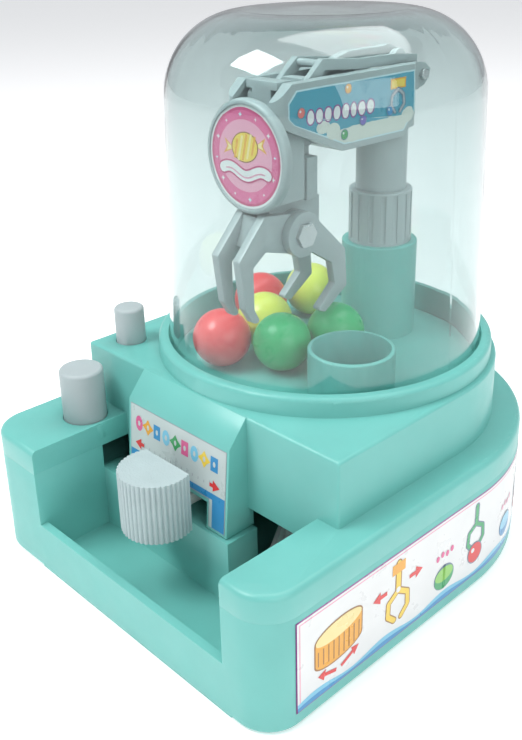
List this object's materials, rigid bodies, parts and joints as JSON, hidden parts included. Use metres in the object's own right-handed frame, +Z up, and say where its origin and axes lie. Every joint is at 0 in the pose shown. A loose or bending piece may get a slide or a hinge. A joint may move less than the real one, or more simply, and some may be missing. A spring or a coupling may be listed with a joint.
{
  "type": "toy claw crane machine",
  "caption": "Hand-sized claw crane game: stepped base with ball tray and knob panel, push buttons, clear dome over a play floor, swinging crane with a closing claw, and loose balls.",
  "frame": {"origin": "middle of the whole object's footprint box, on the surface it stands on", "axes": "+Z up; -Y toward the player: the straight front with the tray and knob; +X to the player's right"},
  "size_m": [0.1386, 0.165, 0.1798],
  "materials": {
    "mint_plastic": "moulded, soft sheen",
    "pale_plastic": "moulded, soft sheen",
    "knob_plastic": "fine matt texture",
    "clear_plastic": "clear, polished",
    "inner_plastic": "plain moulded",
    "steel": "bright zinc plated",
    "red_ball": "glossy",
    "green_ball": "glossy",
    "yellow_ball": "glossy",
    "panel_sticker": "printed sheet",
    "side_sticker_right": "printed sheet",
    "side_sticker_left": "printed sheet",
    "boom_sticker_left": "printed sheet",
    "boom_sticker_right": "printed sheet",
    "disc_sticker": "printed sheet"
  },
  "bodies": {
    "base": {"base_plate": "mint_plastic", "base_screws": "steel", "lower_shell": "mint_plastic", "upper_shell": "mint_plastic", "play_floor": "mint_plastic", "ball_ramp": "inner_plastic", "column_bearing": "inner_plastic", "lever_pin": "steel", "lift_bracket": "inner_plastic", "grip_bracket": "inner_plastic", "lift_rocker_pin": "steel", "grip_rocker_pin": "steel", "panel_sticker": "panel_sticker", "side_sticker_right": "side_sticker_right", "side_sticker_left": "side_sticker_left", "lift_spring": "steel", "grip_spring": "steel", "red_ball_front": "red_ball", "green_ball_front": "green_ball", "yellow_ball_front": "yellow_ball", "red_ball_back": "red_ball", "yellow_ball_back": "yellow_ball", "green_ball_back": "green_ball"},
    "dome": {"dome": "clear_plastic"},
    "knob_lever": {"knob_lever": "inner_plastic", "knob": "knob_plastic"},
    "crane": {"column_gear": "inner_plastic", "column_sleeve": "pale_plastic", "column_tube": "pale_plastic", "boom_left": "pale_plastic", "boom_right": "pale_plastic", "boom_pin": "steel", "boom_sticker_left": "boom_sticker_left", "boom_sticker_right": "boom_sticker_right"},
    "carriage": {"claw_carriage": "pale_plastic", "disc_cover": "pale_plastic", "disc_sticker": "disc_sticker"},
    "front_jaw": {"front_jaw": "pale_plastic"},
    "rear_jaw": {"rear_jaw_left": "pale_plastic", "rear_jaw_right": "pale_plastic", "jaw_pin": "steel"},
    "grip_bar": {"grip_bar": "pale_plastic"},
    "lift_lever": {"lift_lever": "pale_plastic"},
    "grip_lever": {"grip_lever": "pale_plastic"},
    "lift_rod": {"lift_rod": "inner_plastic"},
    "grip_rod": {"grip_rod": "inner_plastic"},
    "lift_rocker": {"lift_rocker": "inner_plastic"},
    "grip_rocker": {"grip_rocker": "inner_plastic"},
    "lift_button": {"lift_button": "pale_plastic"},
    "grip_button": {"grip_button": "pale_plastic"}
  },
  "joints": [
    {"name": "crane_swing", "type": "hinge", "parent": "base", "child": "crane", "pos_m": [0, 0.0432, 0], "axis": [0, 0, 1], "range_deg": [-18, 24]},
    {"name": "lift_press", "type": "slide", "parent": "base", "child": "lift_button", "axis": [0, 0, -1], "range_m": [0, 0.006], "stiffness_N_per_m": 300, "springref_m": -0.002, "deforming": ["lift_spring"]},
    {"name": "grip_press", "type": "slide", "parent": "base", "child": "grip_button", "axis": [0, 0, -1], "range_m": [0, 0.006], "stiffness_N_per_m": 300, "springref_m": -0.002, "deforming": ["grip_spring"]},
    {"name": "dome_lift", "type": "slide", "parent": "base", "child": "dome", "axis": [0, 0, 1], "range_m": [0, 0.11]},
    {"name": "knob_turn", "type": "hinge", "parent": "base", "child": "knob_lever", "pos_m": [0, 0.003, 0], "axis": [0, 0, 1], "range_deg": [-12, 9]},
    {"name": "lift_rocker_tilt", "type": "hinge", "parent": "base", "child": "lift_rocker", "pos_m": [0, 0.0246, 0.02125], "axis": [1, 0, 0], "range_deg": [0, 4.4]},
    {"name": "lift_rod_rise", "type": "slide", "parent": "crane", "child": "lift_rod", "axis": [0, 0, 1], "range_m": [0, 0.0014]},
    {"name": "lift_lever_tilt", "type": "hinge", "parent": "crane", "child": "lift_lever", "pos_m": [0, 0.052, 0.156], "axis": [-1, 0, 0], "range_deg": [0, 9.2]},
    {"name": "claw_lift", "type": "slide", "parent": "crane", "child": "carriage", "axis": [0, 0, 1], "range_m": [0, 0.0101]},
    {"name": "grip_rocker_tilt", "type": "hinge", "parent": "base", "child": "grip_rocker", "pos_m": [0, 0.0336, 0.01275], "axis": [1, 0, 0], "range_deg": [0, 5.3]},
    {"name": "grip_rod_rise", "type": "slide", "parent": "crane", "child": "grip_rod", "axis": [0, 0, 1], "range_m": [0, 0.0009]},
    {"name": "grip_lever_tilt", "type": "hinge", "parent": "crane", "child": "grip_lever", "pos_m": [0, 0.052, 0.156], "axis": [-1, 0, 0], "range_deg": [0, 5.8]},
    {"name": "grip_bar_pull", "type": "slide", "parent": "carriage", "child": "grip_bar", "axis": [0, 0, 1], "range_m": [0, 0.0051]},
    {"name": "front_jaw_close", "type": "hinge", "parent": "carriage", "child": "front_jaw", "pos_m": [0, -0.0055, 0.1127], "axis": [1, 0, 0], "range_deg": [0, 22.3]},
    {"name": "rear_jaw_close", "type": "hinge", "parent": "carriage", "child": "rear_jaw", "pos_m": [0, -0.0055, 0.1127], "axis": [-1, 0, 0], "range_deg": [0, 22.3]}
  ],
  "couplings": [
    {"joint": "knob_turn", "follows": "crane_swing", "ratio": -0.48889},
    {"joint": "lift_rocker_tilt", "follows": "lift_press", "rad_per_m": 12.516},
    {"joint": "lift_rod_rise", "follows": "lift_press", "ratio": 0.23279},
    {"joint": "lift_lever_tilt", "follows": "lift_press", "rad_per_m": 26.454},
    {"joint": "claw_lift", "follows": "lift_press", "ratio": 1.6666},
    {"joint": "grip_rocker_tilt", "follows": "grip_press", "rad_per_m": 14.97},
    {"joint": "grip_rod_rise", "follows": "grip_press", "ratio": 0.14371},
    {"joint": "grip_lever_tilt", "follows": "grip_press", "rad_per_m": 16.331},
    {"joint": "grip_bar_pull", "follows": "grip_press", "ratio": 0.83288},
    {"joint": "front_jaw_close", "follows": "grip_press", "rad_per_m": 64},
    {"joint": "rear_jaw_close", "follows": "grip_press", "rad_per_m": 64}
  ]
}
